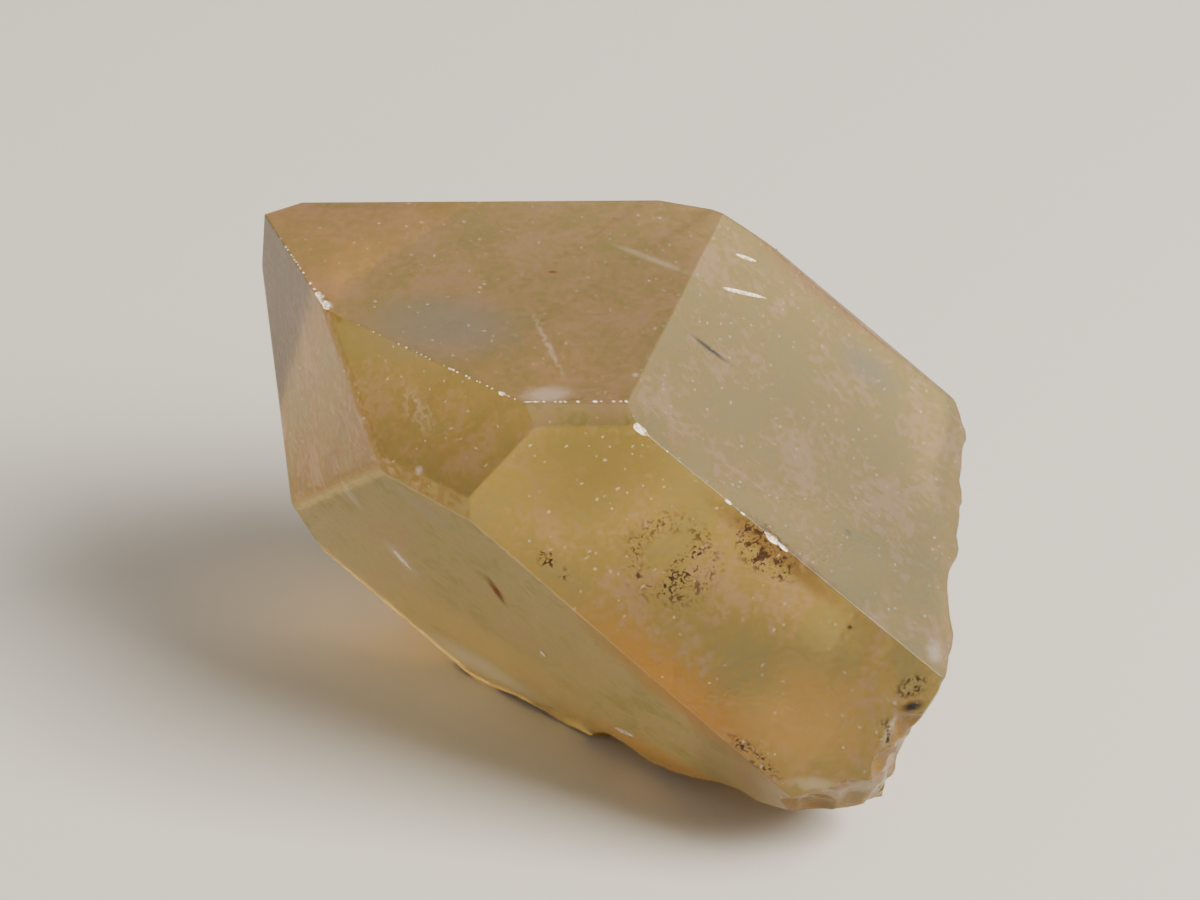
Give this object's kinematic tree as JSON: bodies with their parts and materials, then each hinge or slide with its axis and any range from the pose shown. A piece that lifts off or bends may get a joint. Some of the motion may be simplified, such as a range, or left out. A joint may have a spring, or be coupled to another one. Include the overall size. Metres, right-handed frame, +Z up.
{
  "type": "citrine crystal point",
  "caption": "Stout quartz crystal point with a steep pyramid tip, flat prism faces and a broken base that it leans on.",
  "frame": {"origin": "middle of the flat foot of the broken base, in the plane of the surface that the crystal rests on", "axes": "+Z up from the surface; the tip leans towards -X; -Y is the side seen in the picture"},
  "size_m": [0.0374, 0.031, 0.0272],
  "materials": {
    "citrine": "natural crystal faces, glossy with a slight haze"
  },
  "bodies": {
    "root": {"citrine_crystal": "citrine"}
  },
  "joints": []
}
